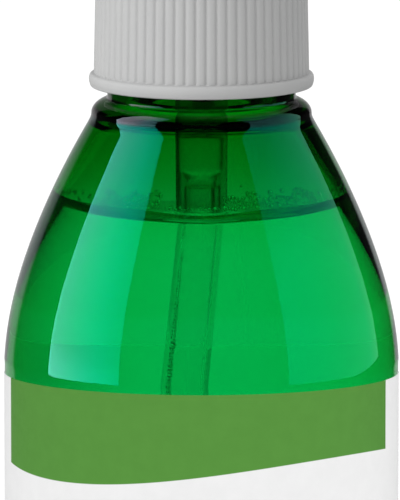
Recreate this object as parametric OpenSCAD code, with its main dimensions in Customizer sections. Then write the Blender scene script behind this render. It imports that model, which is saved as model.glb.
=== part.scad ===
// Round mouthwash bottle with a ribbed screw collar that carries a finger
// spray pump, a dip tube and a clear overcap. Millimetres, +Z up, origin at
// the centre of the standing ring, front of the label towards -Y.

/* [Bottle body] */
// Outside diameter across the shoulder and foot
body_d = 59; // [56:0.5:62]
// Depth of the label panel below the body diameter, per side
panel_inset = 0.12; // [0.1:0.02:0.3]
// Height of the foot of the label panel
panel_foot = 7; // [6:0.5:12]
// Height where the shoulder starts to curve in
shoulder_z = 77; // [60:1:100]
// Height of the shoulder, up to the crease under the neck roll
shoulder_h = 37.5; // [34:0.5:42]
// Radius at the crease under the neck roll
crease_r = 16.5; // [16:0.1:17]
// Wall of the body
wall = 1.0; // [0.8:0.1:1.4]
// Radius of the foot corner
foot_r = 5; // [4:0.5:6]
// Radius of the inner edge of the standing ring
ring_in_r = 19; // [16:0.5:21]
// Height of the push-up in the base
pushup_h = 4.2; // [2:0.2:6]

/* [Neck finish] */
// Radius of the plain neck under the collar
neck_r = 14; // [13.8:0.1:14.2]
// Radius of the neck wall behind the thread
finish_r = 12.55; // [12.4:0.05:12.6]
// Radius of the bore of the neck
bore_r = 10.9; // [10.5:0.1:11.2]
// Height of the finish above the neck roll
finish_h = 17.65; // [17:0.05:18.5]
// Thread pitch, six turns to the inch
pitch = 4.233; // [4.233:0.001:4.233]
// Turns of thread in engagement
thread_turns = 1.5; // [1.25:0.25:1.5]
// Radius over the neck thread
thread_r = 13.7; // [13.5:0.05:13.75]

/* [Contents and label] */
// Height of the liquid level
fill_z = 103.3; // [80:0.1:104]
// Thickness of the label film
label_t = 0.1; // [0.06:0.02:0.12]
// Gap between the label edge and the panel edge
label_gap = 0.5; // [0.4:0.1:2]
// How far the top edge of the label rises at the front and dips at the back
label_wave = 1.1; // [0:0.1:1.4]

/* [Screw collar] */
// Radius over the ribs
collar_r = 16.05; // [15.9:0.05:16.2]
// Number of ribs
rib_n = 64; // [48:4:72]
// Depth of the grooves between the ribs
rib_depth = 0.5; // [0.3:0.05:0.6]
// Radius of the flared ring at the bottom
flare_r = 16.88; // [16.6:0.02:17.2]
// Height of the flared ring
flare_h = 2.1; // [1.6:0.1:2.6]
// Gap between the neck roll and the flared ring
collar_gap = 1.45; // [1.2:0.05:1.8]
// Height of the turret that the overcap sits on
turret_h = 4.7; // [4.5:0.1:5]

/* [Pump] */
// Radius of the pump housing at its top
housing_r = 3.98; // [3.9:0.02:4.1]
// Radius of the pump housing at its tail
tail_r = 3.78; // [3.7:0.02:3.9]
// Height of the tail end of the housing
tail_z = 101.2; // [100:0.2:103]
// Stroke of the finger button
stroke = 4.5; // [3:0.1:4.5]
// Radius of the pump bore
pump_bore_r = 2.85; // [2.8:0.05:2.9]
// Radius of the valve ball
ball_r = 1.5; // [1.4:0.05:1.55]
// Wire diameter of the return spring
wire_d = 0.5; // [0.4:0.05:0.5]
// Working coils of the return spring
coils = 8; // [6:1:9]
// Radius of the finger button
button_r = 6.6; // [6.4:0.1:6.9]
// Height of the finger button
button_h = 12.2; // [11:0.2:14]

/* [Dip tube] */
// Outside radius of the dip tube
tube_r = 2.55; // [2.5:0.01:2.6]
// Inside radius of the dip tube
tube_bore_r = 1.75; // [1.5:0.05:1.9]
// Tilt of the tube where it leaves the socket
tube_tilt = 9; // [8:0.5:10]
// Further bend of the tube on its way to the foot
tube_bend = 7; // [5:0.5:8]
// Direction in which the tube leans, from +X
tube_az = 116; // [90:1:180]

/* [Overcap] */
// Outside radius of the overcap at its rim
overcap_r = 11.7; // [11.5:0.1:12.5]
// Height of the overcap
overcap_h = 25; // [22:0.5:30]
// Wall of the overcap
overcap_wall = 1.0; // [0.8:0.1:1.1]

/* [Hidden] */
$fn = 96;

body_r = body_d / 2;
panel_r = body_r - panel_inset;
panel_top = shoulder_z + 1.8;               // the label panel ends here
crease_z = shoulder_z + shoulder_h + 1.8;   // bottom of the neck roll
roll_top = crease_z + 2.65;                 // plain neck starts here
land_z = roll_top + finish_h;               // top of the neck
flare_z = roll_top + collar_gap;            // underside of the collar
gasket_z = land_z + 0.04;
flange_z = gasket_z + 1.0;
cover_z = flange_z + 1.1;                   // top of the housing flange
plate_z = cover_z + 0.75;                   // underside of the collar's top plate
top_z = plate_z + 1.3;                      // top face of the collar
skirt_z = flare_z + flare_h;                // ribs start here
button_z = plate_z + stroke + 0.45;         // underside of the finger button
piston_z = 130.6 + (land_z - 136.6);        // underside of the piston
seat_z = 120.1 + (land_z - 136.6);          // spring seat
clear = 0.35;                               // liquid to moving pieces
lift = pitch * thread_turns;

// ---------- curves ----------
function lerp(a, b, t) = a + (b - a) * t;
function bez(p, t) = pow(1 - t, 3) * p[0] + 3 * pow(1 - t, 2) * t * p[1]
    + 3 * (1 - t) * t * t * p[2] + pow(t, 3) * p[3];
function curve(p, n) = [for (i = [0:n]) bez(p, i / n)];
function inner_pts(p) = [for (i = [1:len(p) - 1]) p[i]];
// quarter ellipse from angle a0 to a1 about c
function arc(c, rx, ry, a0, a1, n) =
    [for (i = [0:n]) c + [rx * cos(lerp(a0, a1, i / n)), ry * sin(lerp(a0, a1, i / n))]];

sh_end = [crease_r + 0.74, shoulder_z + shoulder_h - 0.1];
function shoulder_ctl(o) = [
    [body_r - o, shoulder_z],
    [body_r - o, shoulder_z + 13.9],
    [sh_end[0] + 5.09 - o * 0.93, sh_end[1] - 8.79 - o * 0.3],
    [sh_end[0] - o * 0.87, sh_end[1] - o * 0.5]];

// outside of the bottle, from the middle of the base to the top of the neck
function outer_profile() = concat(
    curve([[0, pushup_h], [ring_in_r * 0.55, pushup_h], [ring_in_r * 0.88, 1.6], [ring_in_r, 0]], 12),
    arc([body_r - foot_r, foot_r], foot_r, foot_r, -90, 0, 10),
    [[body_r, panel_foot - 0.5], [panel_r, panel_foot - 0.1], [panel_r, panel_top]],
    [for (i = [0:26]) bez(shoulder_ctl(0), lerp(0.055, 1, i / 26))],
    inner_pts(curve([sh_end, sh_end + [-0.5, 0.86], [crease_r, crease_z - 0.9], [crease_r, crease_z]], 6)),
    inner_pts(arc([neck_r, crease_z], crease_r - neck_r, 2.65, 0, 90, 10)),
    [[neck_r, flare_z + 0.9], [finish_r, flare_z + 2.2],
     [finish_r, land_z - 0.4], [finish_r - 0.4, land_z]]);

// inside of the bottle, from the top of the neck to the middle of the base
in_sh = shoulder_ctl(wall);
function inner_neck() = concat(
    [[bore_r, land_z], [bore_r, roll_top + 2.2]],
    inner_pts(curve([[bore_r, roll_top + 2.2], [bore_r, roll_top + 0.2],
                     [in_sh[3][0] - 1.3, in_sh[3][1] + 3.2], in_sh[3]], 8)));
function inner_body() = concat(
    [for (i = [25:-1:0]) bez(in_sh, i / 26)],
    [for (i = [0:8]) [body_r - foot_r, foot_r] + (foot_r - wall) * [cos(-90 * i / 8), sin(-90 * i / 8)]],
    [[ring_in_r + 0.8, wall]],
    [for (i = [1:12]) bez([[ring_in_r + 0.8, wall], [ring_in_r * 0.88, 1.6 + wall],
                           [ring_in_r * 0.55, pushup_h + wall], [0, pushup_h + wall]], i / 12)]);

// ---------- helpers ----------
// a helical ridge: root radius, crest radius, middle height at angle 0,
// half widths at root and crest, with run-outs at both ends
module ridge(r_root, r_crest, z0, w_root, w_crest, turns, n = 30) {
    steps = round(turns * n);
    function k(i) = min(1, 0.04 + min(i, steps - i) / (n / 9));
    sec = [for (i = [0:steps])
        let (a = 360 * i / n, z = z0 + pitch * i / n, c = r_root + (r_crest - r_root) * k(i),
             wr = w_root * (0.35 + 0.65 * k(i)), wc = w_crest * (0.35 + 0.65 * k(i)))
        [[r_root * cos(a), r_root * sin(a), z - wr],
         [c * cos(a), c * sin(a), z - wc],
         [c * cos(a), c * sin(a), z + wc],
         [r_root * cos(a), r_root * sin(a), z + wr]]];
    pts = [for (s = sec) for (p = s) p];
    out = r_crest > r_root;
    side = [for (i = [0:steps - 1]) for (j = [0:3])
        let (a = 4 * i + j, b = 4 * i + (j + 1) % 4)
        out ? [a, b, b + 4, a + 4] : [a + 4, b + 4, b, a]];
    caps = out ? [[3, 2, 1, 0], [for (j = [0:3]) 4 * steps + j]]
               : [[0, 1, 2, 3], [for (j = [3:-1:0]) 4 * steps + j]];
    polyhedron(points = pts, faces = concat(side, caps), convexity = 8);
}

// the dip tube's path lies in one upright plane: a run inside the socket,
// a short bend at its mouth and one long easy bend down to the foot
short_r = 22;
long_len = 98.2;
long_r = long_len / (tube_bend * PI / 180);
short_len = short_r * tube_tilt * PI / 180;
tube_len = short_len + long_len;
// lean from the upright at length s below the socket mouth
function tube_lean(s) = s <= 0 ? 0
    : s <= short_len ? s / short_r * 180 / PI
    : tube_tilt + (s - short_len) / long_r * 180 / PI;
// centre line as [out, z] at length s below the socket mouth
function tube_pt(s) =
    s <= 0 ? [0, tail_z - s]
    : s <= short_len ? let (a = tube_lean(s)) [short_r * (1 - cos(a)), tail_z - short_r * sin(a)]
    : let (a = tube_lean(s))
      [short_r * (1 - cos(tube_tilt)) + long_r * (cos(tube_tilt) - cos(a)),
       tail_z - short_r * sin(tube_tilt) - long_r * (sin(a) - sin(tube_tilt))];

module ring(r_out, r_in, z0, z1) {
    translate([0, 0, z0]) difference() {
        cylinder(r = r_out, h = z1 - z0);
        translate([0, 0, -1]) cylinder(r = r_in, h = z1 - z0 + 2);
    }
}

// ---------- pieces ----------
module bottle() {
    color([0.05, 0.62, 0.25, 0.5]) union() {
        rotate_extrude() polygon(concat(outer_profile(), inner_neck(), inner_body()));
        ridge(finish_r - 0.25, thread_r, land_z - 2.4 - lift, 1.15, 0.5, thread_turns);
    }
}

module label() {
    z0 = panel_foot + label_gap;
    z1 = panel_top - label_gap;
    color([0.35, 0.58, 0.24]) difference() {
        ring(panel_r + label_t, panel_r, z0, z1);
        // the top edge lies in a plane that is highest at the front
        translate([0, 0, z1 - label_wave]) rotate([-atan(label_wave / panel_r), 0, 0])
            translate([-50, -50, 0]) cube([100, 100, 20]);
    }
}

module mouthwash() {
    pts = [for (p = inner_body()) if (p[1] < fill_z - 0.2) p];
    top_r = lookup(fill_z, [for (i = [0:26]) [bez(in_sh, i / 26)[1], bez(in_sh, i / 26)[0]]]);
    color([0.0, 0.66, 0.3, 0.7]) difference() {
        rotate_extrude() polygon(concat([[0, fill_z], [top_r, fill_z]], pts));
        translate([0, 0, tail_z - clear]) cylinder(r = housing_r + clear, h = 10);
        // the way of the dip tube as the pump is screwed out
        w = tube_r + clear;
        rotate([0, 0, tube_az]) rotate([90, 0, 0]) translate([0, 0, -w])
            linear_extrude(height = 2 * w) polygon(concat(
                [for (i = [0:12]) tube_pt(i * tube_len / 12) + [-1.04 * w, i == 12 ? -1.5 : 0]],
                [tube_pt(tube_len) + [1.04 * w, -1.5]],
                [for (i = [12:-1:0]) tube_pt(i * tube_len / 12) + [1.04 * w, lift + clear]]));
    }
}

module screw_collar() {
    // one rib is a rounded crest between two narrow grooves
    shape = [[0, 0], [0.1, 0.5], [0.24, 0.86], [0.5, 1], [0.76, 0.86], [0.9, 0.5]];
    color([0.86, 0.86, 0.85]) difference() {
        union() {
            translate([0, 0, skirt_z - 0.4]) linear_extrude(height = top_z - 1.9 - skirt_z + 0.4)
                polygon([for (i = [0:rib_n - 1]) for (s = shape)
                    let (a = 360 * (i + s[0]) / rib_n, r = collar_r - rib_depth * (1 - s[1]))
                    [r * cos(a), r * sin(a)]]);
            rotate_extrude() polygon(concat(
                [[0, flare_z], [flare_r - 0.3, flare_z], [flare_r, flare_z + 0.3]],
                arc([flare_r - 0.6, skirt_z - 0.6], 0.6, 0.6, 0, 90, 5),
                [[collar_r - rib_depth - 0.02, skirt_z]],
                [[collar_r - rib_depth - 0.02, top_z - 1.4]],
                arc([collar_r - rib_depth - 1.22, top_z - 1.2], 1.2, 1.2, 0, 90, 6),
                [[10.15, top_z], [10.15, top_z + 1.5], [10.3, top_z + 2.0],
                 [10.15, top_z + 2.5], [10.1, top_z + turret_h - 0.5],
                 [9.6, top_z + turret_h], [0, top_z + turret_h]]));
        }
        translate([0, 0, flare_z - 1]) cylinder(r = 14.15, h = plate_z - flare_z + 1);
        translate([0, 0, flare_z - 1]) cylinder(r = 14.6, h = flare_h + 1);
        translate([0, 0, flare_z + flare_h - 0.001]) cylinder(r1 = 14.6, r2 = 14.15, h = 0.5);
        translate([0, 0, plate_z - 1]) cylinder(r = button_r + 0.8, h = 20);
    }
    color([0.86, 0.86, 0.85])
        ridge(14.4, 12.95, land_z - 2.4 - lift - pitch / 2, 1.15, 0.5, thread_turns);
}

module gasket() {
    color([0.9, 0.9, 0.87]) ring(12.6, 9.4, gasket_z, flange_z);
}

module pump_housing() {
    color([0.8, 0.88, 0.84, 0.6]) rotate_extrude() polygon([
        // outside, from the flange down
        [12.6, cover_z], [12.6, flange_z], [6.4, flange_z], [6.2, flange_z - 1.6],
        [4.6, flange_z - 2.6], [housing_r, flange_z - 3.6], [tail_r, tail_z + 0.3],
        [tail_r - 0.3, tail_z],
        // inside, from the socket up
        [tube_r + 0.3, tail_z], [tube_r, tail_z + 0.3], [tube_r, tail_z + 4.7],
        [tube_bore_r + 0.2, tail_z + 4.7], [tube_bore_r + 0.2, tail_z + 5.2],
        [2.9, tail_z + 5.8], [3.0, seat_z - 6.1], [2.3, seat_z - 5.4],
        [0.9, seat_z - 5.2], [0.9, seat_z - 3.6], [1.75, seat_z - 2.75],
        [1.75, seat_z - 0.4], [1.3, seat_z - 0.3], [1.3, seat_z],
        [pump_bore_r, seat_z], [pump_bore_r, flange_z - 0.4], [5.6, flange_z - 0.4],
        [5.6, cover_z]]);
}

module pump_retainer() {
    color([0.9, 0.9, 0.9]) rotate_extrude() polygon([
        [1.82, piston_z + 4.65], [pump_bore_r - 0.02, piston_z + 4.65],
        [pump_bore_r - 0.02, flange_z - 0.38], [5.58, flange_z - 0.38], [5.58, cover_z],
        [11.8, cover_z], [11.8, plate_z - 0.06],
        [3.2, plate_z - 0.06], [2.8, plate_z + 3.4], [1.82, plate_z + 3.4]]);
}

module dip_tube() {
    sides = 24;
    stops = concat([-4.65, 0, short_len / 2], [for (i = [0:14]) short_len + i * long_len / 14]);
    last = len(stops) - 1;
    // one ring of points; the last is cut on a slant that opens inwards
    function hoop(k, r) = let (s = stops[k], p = tube_pt(s), a = tube_lean(s))
        [for (j = [0:sides - 1]) let (u = r * cos(360 * j / sides), v = r * sin(360 * j / sides),
            d = k == last ? 0.45 * (u + tube_r) : 0,
            q = [p[0] + u * cos(a) - d * sin(a), p[1] + u * sin(a) + d * cos(a)])
            [q[0] * cos(tube_az) - v * sin(tube_az), q[0] * sin(tube_az) + v * cos(tube_az), q[1]]];
    pts = concat([for (k = [0:last]) for (q = hoop(k, tube_r)) q],
                 [for (k = [0:last]) for (q = hoop(k, tube_bore_r)) q]);
    m = sides * (last + 1);
    faces = concat(
        [for (k = [0:last - 1]) for (j = [0:sides - 1])
            let (a = sides * k + j, b = sides * k + (j + 1) % sides) [a, a + sides, b + sides, b]],
        [for (k = [0:last - 1]) for (j = [0:sides - 1])
            let (a = m + sides * k + j, b = m + sides * k + (j + 1) % sides) [a, b, b + sides, a + sides]],
        [for (j = [0:sides - 1]) let (a = j, b = (j + 1) % sides) [a, b, b + m, a + m]],
        [for (j = [0:sides - 1]) let (a = sides * last + j, b = sides * last + (j + 1) % sides)
            [a, a + m, b + m, b]]);
    color([0.78, 0.9, 0.84, 0.6]) polyhedron(points = pts, faces = faces, convexity = 6);
}

module valve_ball() {
    color([0.75, 0.76, 0.78]) translate([0, 0, seat_z - 2.32]) sphere(r = ball_r, $fn = 48);
}

module return_spring() {
    r = 2.25; sides = 6; n = 18;
    z0 = seat_z + 0.05 + wire_d / 2; z1 = piston_z - 0.05 - wire_d / 2;
    turns = coils + 2; steps = turns * n;
    // closed end coils, open coils between them
    function rise(t) = t <= 1 ? t * wire_d * 1.05
        : t >= turns - 1 ? (z1 - z0) - (turns - t) * wire_d * 1.05
        : lerp(wire_d * 1.05, (z1 - z0) - wire_d * 1.05, (t - 1) / (turns - 2));
    pts = [for (i = [0:steps]) let (a = 360 * i / n, z = z0 + rise(i / n)) for (j = [0:sides - 1])
        let (b = 360 * j / sides, q = r + wire_d / 2 * cos(b))
        [q * cos(a), q * sin(a), z + wire_d / 2 * sin(b)]];
    side = [for (i = [0:steps - 1]) for (j = [0:sides - 1])
        let (a = sides * i + j, b = sides * i + (j + 1) % sides)
        [a, b, b + sides, a + sides]];
    color([0.7, 0.71, 0.73]) polyhedron(points = pts, faces = concat(side,
        [[for (j = [sides - 1:-1:0]) j], [for (j = [0:sides - 1]) sides * steps + j]]), convexity = 12);
}

module piston() {
    b = pump_bore_r - 0.05;
    color([0.93, 0.93, 0.9]) rotate_extrude() polygon([
        [1.3, piston_z], [b - 0.3, piston_z], [b, piston_z + 0.25], [b, piston_z + 0.9],
        [b - 0.45, piston_z + 1.3], [b - 0.45, piston_z + 3.1], [b, piston_z + 3.5],
        [b, piston_z + 4.1], [b - 0.3, piston_z + 4.35], [1.3, piston_z + 4.35]]);
}

module stem() {
    color([0.9, 0.91, 0.92]) rotate_extrude() polygon([
        [0.6, piston_z + 0.2], [1.24, piston_z + 0.2], [1.24, piston_z + 4.4], [1.72, piston_z + 4.42],
        [1.72, button_z + 6], [0.6, button_z + 6]]);
}

module finger_button() {
    t = button_z + button_h;
    color([0.95, 0.95, 0.94]) difference() {
        rotate_extrude() polygon(concat(
            [[0, button_z], [button_r, button_z]],
            arc([button_r - 1.2, t - 1.2], 1.1, 1.2, 0, 90, 6),
            [for (i = [1:8]) [(button_r - 1.2) * (1 - i / 8), t - 1.1 * sin(90 * i / 8)]]));
        // hollow skirt around the stem boss
        translate([0, 0, button_z - 1]) difference() {
            cylinder(r = button_r - 1.0, h = 6.4);
            cylinder(r = 3.9, h = 6.4);
        }
        // room for the guide of the retainer as the button goes down
        translate([0, 0, button_z - 1]) cylinder(r = 3.3, h = stroke - 0.2 + 1);
        translate([0, 0, button_z - 1]) cylinder(r = 1.72, h = 7);
        translate([0, 0, button_z + 5]) cylinder(r = 0.7, h = 3.2);
        // channel to the nozzle, and the nozzle's seat
        translate([0, 0, button_z + 7.6]) rotate([90, 0, 0]) cylinder(r = 0.6, h = 5.2);
        translate([0, -4.4, button_z + 7.6]) rotate([90, 0, 0]) cylinder(r = 1.9, h = 4);
    }
}

module nozzle_insert() {
    color([0.97, 0.97, 0.97]) translate([0, -4.4, button_z + 7.6]) rotate([90, 0, 0]) difference() {
        union() {
            cylinder(r = 1.9, h = 1.9);
            translate([0, 0, 1.9]) cylinder(r1 = 1.9, r2 = 1.5, h = 0.45);
        }
        translate([0, 0, -0.1]) cylinder(r = 1.2, h = 1.7);
        translate([0, 0, 0]) cylinder(r = 0.2, h = 5);
        translate([0, 0, 2.05]) cylinder(r1 = 0.3, r2 = 0.9, h = 0.31);
    }
}

module overcap() {
    z0 = top_z + 0.06; z1 = z0 + overcap_h; w = overcap_wall; e = overcap_r - 0.45;
    color([0.93, 0.95, 0.96, 0.35]) rotate_extrude() polygon(concat(
        [[overcap_r - 0.2, z0], [overcap_r, z0 + 0.3]],
        arc([e - 2.2, z1 - 2.2], 2.2, 2.2, 0, 90, 8),
        [[0, z1], [0, z1 - w]],
        arc([e - 2.2, z1 - 2.2], 2.2 - w, 2.2 - w, 90, 0, 6),
        [[10.55, z0 + 4.2], [10.42, z0 + 3.6], [10.42, z0 + 0.4], [10.6, z0]]));
}

bottle();
label();
mouthwash();
screw_collar();
gasket();
pump_housing();
pump_retainer();
dip_tube();
valve_ball();
return_spring();
piston();
stem();
finger_button();
nozzle_insert();
overcap();
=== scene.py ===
import math
import random
import bpy
import numpy as np
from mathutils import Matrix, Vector


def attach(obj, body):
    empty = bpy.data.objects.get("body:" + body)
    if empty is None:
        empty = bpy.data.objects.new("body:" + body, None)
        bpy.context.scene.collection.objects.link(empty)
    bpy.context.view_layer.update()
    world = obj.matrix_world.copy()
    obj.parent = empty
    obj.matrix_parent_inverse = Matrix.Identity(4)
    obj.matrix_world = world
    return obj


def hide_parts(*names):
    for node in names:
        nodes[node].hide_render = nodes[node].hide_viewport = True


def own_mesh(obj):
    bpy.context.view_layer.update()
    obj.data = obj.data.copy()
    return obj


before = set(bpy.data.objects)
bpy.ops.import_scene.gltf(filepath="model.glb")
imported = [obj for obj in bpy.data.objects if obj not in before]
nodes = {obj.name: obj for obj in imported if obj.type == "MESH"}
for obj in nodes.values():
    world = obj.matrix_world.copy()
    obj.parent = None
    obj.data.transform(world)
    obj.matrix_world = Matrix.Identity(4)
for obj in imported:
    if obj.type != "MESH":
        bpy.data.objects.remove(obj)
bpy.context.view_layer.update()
MM = 0.001

# ------------------------------------------------------------------ sizes, mm
BODY_R, PANEL_R, FOOT_R, RING_R, PUSH = 29.5, 29.38, 5.0, 19.0, 4.2
SHOULDER_Z, PANEL_TOP, WALL = 77.0, 78.8, 1.0
CREASE_R, CREASE_Z, NECK_R, FINISH_R, BORE_R = 16.5, 116.3, 14.0, 12.55, 10.9
ROLL_TOP, LAND_Z = 118.95, 136.6
PITCH, THREAD_R, TURNS = 4.233, 13.7, 1.5
LIFT = PITCH * TURNS
FLARE_Z, SKIRT_Z, PLATE_Z, TOP_Z = 120.4, 122.25, 139.49, 140.79
FILL_Z = 101.35
TAIL_Z, SEAT_Z, PISTON_Z = 101.2, 120.1, 130.6
FLANGE_Z, COVER_Z = 137.64, 138.74
END = (17.24, 114.4)


def bez(p, t):
    p = [np.array(q, float) for q in p]
    return tuple(
        (1 - t) ** 3 * p[0] + 3 * (1 - t) ** 2 * t * p[1]
        + 3 * (1 - t) * t * t * p[2] + t ** 3 * p[3]
    )


def curve(p, n, t0=0.0, t1=1.0):
    return [bez(p, t0 + (t1 - t0) * i / n) for i in range(n + 1)]


def arc(c, rx, ry, a0, a1, n):
    out = []
    for i in range(n + 1):
        a = math.radians(a0 + (a1 - a0) * i / n)
        out.append((c[0] + rx * math.cos(a), c[1] + ry * math.sin(a)))
    return out


def line(a, b, n):
    return [(a[0] + (b[0] - a[0]) * i / n, a[1] + (b[1] - a[1]) * i / n) for i in range(n + 1)]


def chain(*parts):
    out = []
    for part in parts:
        for p in part:
            if not out or math.hypot(p[0] - out[-1][0], p[1] - out[-1][1]) > 1e-4:
                out.append((float(p[0]), float(p[1])))
    return out


def shoulder_ctl(o):
    return [(BODY_R - o, SHOULDER_Z), (BODY_R - o, SHOULDER_Z + 13.9),
            (END[0] + 5.09 - o * 0.93, END[1] - 8.79 - o * 0.3),
            (END[0] - o * 0.87, END[1] - o * 0.5)]


# ------------------------------------------------------------------ mesh makers
def mesh_object(name, verts, faces, sharp=35.0):
    me = bpy.data.meshes.new(name)
    me.from_pydata([tuple(v) for v in verts], [], faces)
    me.validate(clean_customdata=False)
    me.polygons.foreach_set("use_smooth", [True] * len(me.polygons))
    if sharp:
        me.set_sharp_from_angle(angle=math.radians(sharp))
    me.update()
    ob = bpy.data.objects.new(name, me)
    bpy.context.scene.collection.objects.link(ob)
    return ob


def lathe(name, profile, seg=192, closed=False, push=None, sharp=35.0):
    """Turned body. The profile runs up the outside and down the inside; a point
    on the axis becomes one vertex. push(angle, r, z) gives a new radius."""
    verts, rows = [], []
    for k, (r, z) in enumerate(profile):
        if r < 1e-6:
            rows.append([len(verts)] * seg)
            verts.append((0.0, 0.0, z * MM))
            continue
        start = len(verts)
        for j in range(seg):
            a = 2 * math.pi * j / seg
            q = push(a, r, z, k) if push else r
            verts.append((q * MM * math.cos(a), q * MM * math.sin(a), z * MM))
        rows.append(list(range(start, start + seg)))
    faces = []
    last = len(rows) if closed else len(rows) - 1
    for i in range(last):
        lo, hi = rows[i], rows[(i + 1) % len(rows)]
        for j in range(seg):
            k = (j + 1) % seg
            ring = [lo[j], lo[k], hi[k], hi[j]]
            face = []
            for v in ring:
                if v not in face:
                    face.append(v)
            if len(face) > 2:
                faces.append(face)
    return mesh_object(name, verts, faces, sharp)


def smooth01(t):
    t = max(0.0, min(1.0, t))
    return t * t * (3 - 2 * t)


def thread_height(a, z, z0):
    """0 at the root to 1 at the crest of the helical ridge, at this angle and height."""
    best = 0.0
    for m in range(2):
        turn = a / (2 * math.pi) + m
        if turn > TURNS:
            continue
        run = min(1.0, 0.04 + min(turn, TURNS - turn) * 9)
        wide = 0.35 + 0.65 * run
        d = abs(z - (z0 + PITCH * turn))
        t = (1.15 * wide - d) / (0.65 * wide)
        best = max(best, run * smooth01(t))
    return best


# ------------------------------------------------------------------ materials
def material(name):
    m = bpy.data.materials.new(name)
    m.use_nodes = True
    nt = m.node_tree
    nt.nodes.clear()
    out = nt.nodes.new("ShaderNodeOutputMaterial")
    p = nt.nodes.new("ShaderNodeBsdfPrincipled")
    nt.links.new(p.outputs["BSDF"], out.inputs["Surface"])
    return m, nt, p, out


def add(nt, kind, **values):
    n = nt.nodes.new(kind)
    for k, v in values.items():
        if k in n.inputs:
            n.inputs[k].default_value = v
        else:
            setattr(n, k, v)
    return n


def math_node(nt, op, a, b=None, c=None, clamp=False):
    n = nt.nodes.new("ShaderNodeMath")
    n.operation = op
    n.use_clamp = clamp
    for i, v in enumerate((a, b, c)):
        if v is None:
            continue
        if hasattr(v, "is_output"):
            nt.links.new(v, n.inputs[i])
        else:
            n.inputs[i].default_value = v
    return n.outputs[0]


def step_up(nt, v, a, b):
    """0 below a, 1 above b, smooth between."""
    n = nt.nodes.new("ShaderNodeMapRange")
    n.interpolation_type = "SMOOTHSTEP"
    nt.links.new(v, n.inputs["Value"])
    n.inputs["From Min"].default_value = a
    n.inputs["From Max"].default_value = b
    return n.outputs["Result"]


def noise(nt, scale, detail=3.0, rough=0.5, coord="Object", stretch=None):
    tc = nt.nodes.new("ShaderNodeTexCoord")
    src = tc.outputs[coord]
    if stretch:
        mp = nt.nodes.new("ShaderNodeMapping")
        mp.inputs["Scale"].default_value = stretch
        nt.links.new(src, mp.inputs["Vector"])
        src = mp.outputs["Vector"]
    n = nt.nodes.new("ShaderNodeTexNoise")
    n.inputs["Scale"].default_value = scale
    n.inputs["Detail"].default_value = detail
    n.inputs["Roughness"].default_value = rough
    nt.links.new(src, n.inputs["Vector"])
    return n.outputs["Fac"]


def bump(nt, p, height, distance, strength=1.0, base=None):
    b = nt.nodes.new("ShaderNodeBump")
    b.inputs["Strength"].default_value = strength
    b.inputs["Distance"].default_value = distance
    nt.links.new(height, b.inputs["Height"])
    if base:
        nt.links.new(base, b.inputs["Normal"])
    nt.links.new(b.outputs["Normal"], p.inputs["Normal"])
    return b.outputs["Normal"]


def two_tone(nt, fac, a, b, lo=0.35, hi=0.65):
    r = nt.nodes.new("ShaderNodeValToRGB")
    r.color_ramp.elements[0].position = lo
    r.color_ramp.elements[1].position = hi
    r.color_ramp.elements[0].color = (*a, 1)
    r.color_ramp.elements[1].color = (*b, 1)
    nt.links.new(fac, r.inputs["Fac"])
    return r.outputs["Color"]


def rough_between(nt, p, fac, lo, hi):
    n = nt.nodes.new("ShaderNodeMapRange")
    nt.links.new(fac, n.inputs["Value"])
    n.inputs["From Min"].default_value = 0.3
    n.inputs["From Max"].default_value = 0.7
    n.inputs["To Min"].default_value = lo
    n.inputs["To Max"].default_value = hi
    nt.links.new(n.outputs["Result"], p.inputs["Roughness"])


def clear(name, ior, rough, colour, density, tint=(1, 1, 1), base=(1, 1, 1),
          wave=None):
    """Clear tinted solid: colour and density of the absorption are per metre."""
    m, nt, p, out = material(name)
    p.inputs["Base Color"].default_value = (*base, 1)
    p.inputs["Transmission Weight"].default_value = 1.0
    p.inputs["IOR"].default_value = ior
    p.inputs["Roughness"].default_value = rough
    p.inputs["Specular Tint"].default_value = (*tint, 1)
    v = nt.nodes.new("ShaderNodeVolumeAbsorption")
    v.inputs["Color"].default_value = (*colour, 1)
    v.inputs["Density"].default_value = density
    nt.links.new(v.outputs["Volume"], out.inputs["Volume"])
    if wave:
        scale, distance, stretch = wave
        bump(nt, p, noise(nt, scale, 2.0, 0.4, stretch=stretch), distance)
    return m


pet = clear("green_pet", 1.52, 0.012, (0.02, 0.86, 0.50), 2450.0, tint=(0.22, 1.0, 0.95),
            wave=(55.0, 0.00001, (1.0, 1.0, 0.35)))


def by_height(mat, socket, low, high, z0, z1):
    """One colour below z0 and another above z1, in metres."""
    nt = mat.node_tree
    p = [n for n in nt.nodes if n.type == "BSDF_PRINCIPLED"][0]
    tc = nt.nodes.new("ShaderNodeTexCoord")
    xyz = nt.nodes.new("ShaderNodeSeparateXYZ")
    nt.links.new(tc.outputs["Object"], xyz.inputs[0])
    nt.links.new(two_tone(nt, step_up(nt, xyz.outputs[2], z0, z1), low, high, 0.0, 1.0), p.inputs[socket])


# painted reflection colour: the bottle's reflections are tinted teal on the shoulder and greyer from the
# neck's crease up, switched by height
by_height(pet, "Specular Tint", (0.0, 1.0, 0.92), (0.62, 0.43, 0.57), 0.1157, 0.1163)
wash = clear("green_mouthwash", 1.333, 0.0, (0.02, 0.95, 0.88), 40.0, tint=(0.3, 1.0, 0.95))
pp_natural = clear("natural_pp_housing", 1.1, 0.32, (0.5, 0.62, 0.55), 330.0,
                   base=(0.93, 0.97, 0.94), wave=(300.0, 0.00002, None))
pe_natural = clear("natural_pe_tube", 1.14, 0.03, (0.45, 0.7, 0.6), 210.0,
                   base=(0.97, 0.99, 0.98))
pp_clear = clear("clear_pp_overcap", 1.3, 0.06, (0.75, 0.9, 0.88), 60.0,
                 wave=(120.0, 0.00002, (1, 1, 0.3)))
bubble = clear("bubble_wall", 1.3, 0.0, (0.5, 0.8, 0.6), 1500.0)


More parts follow.
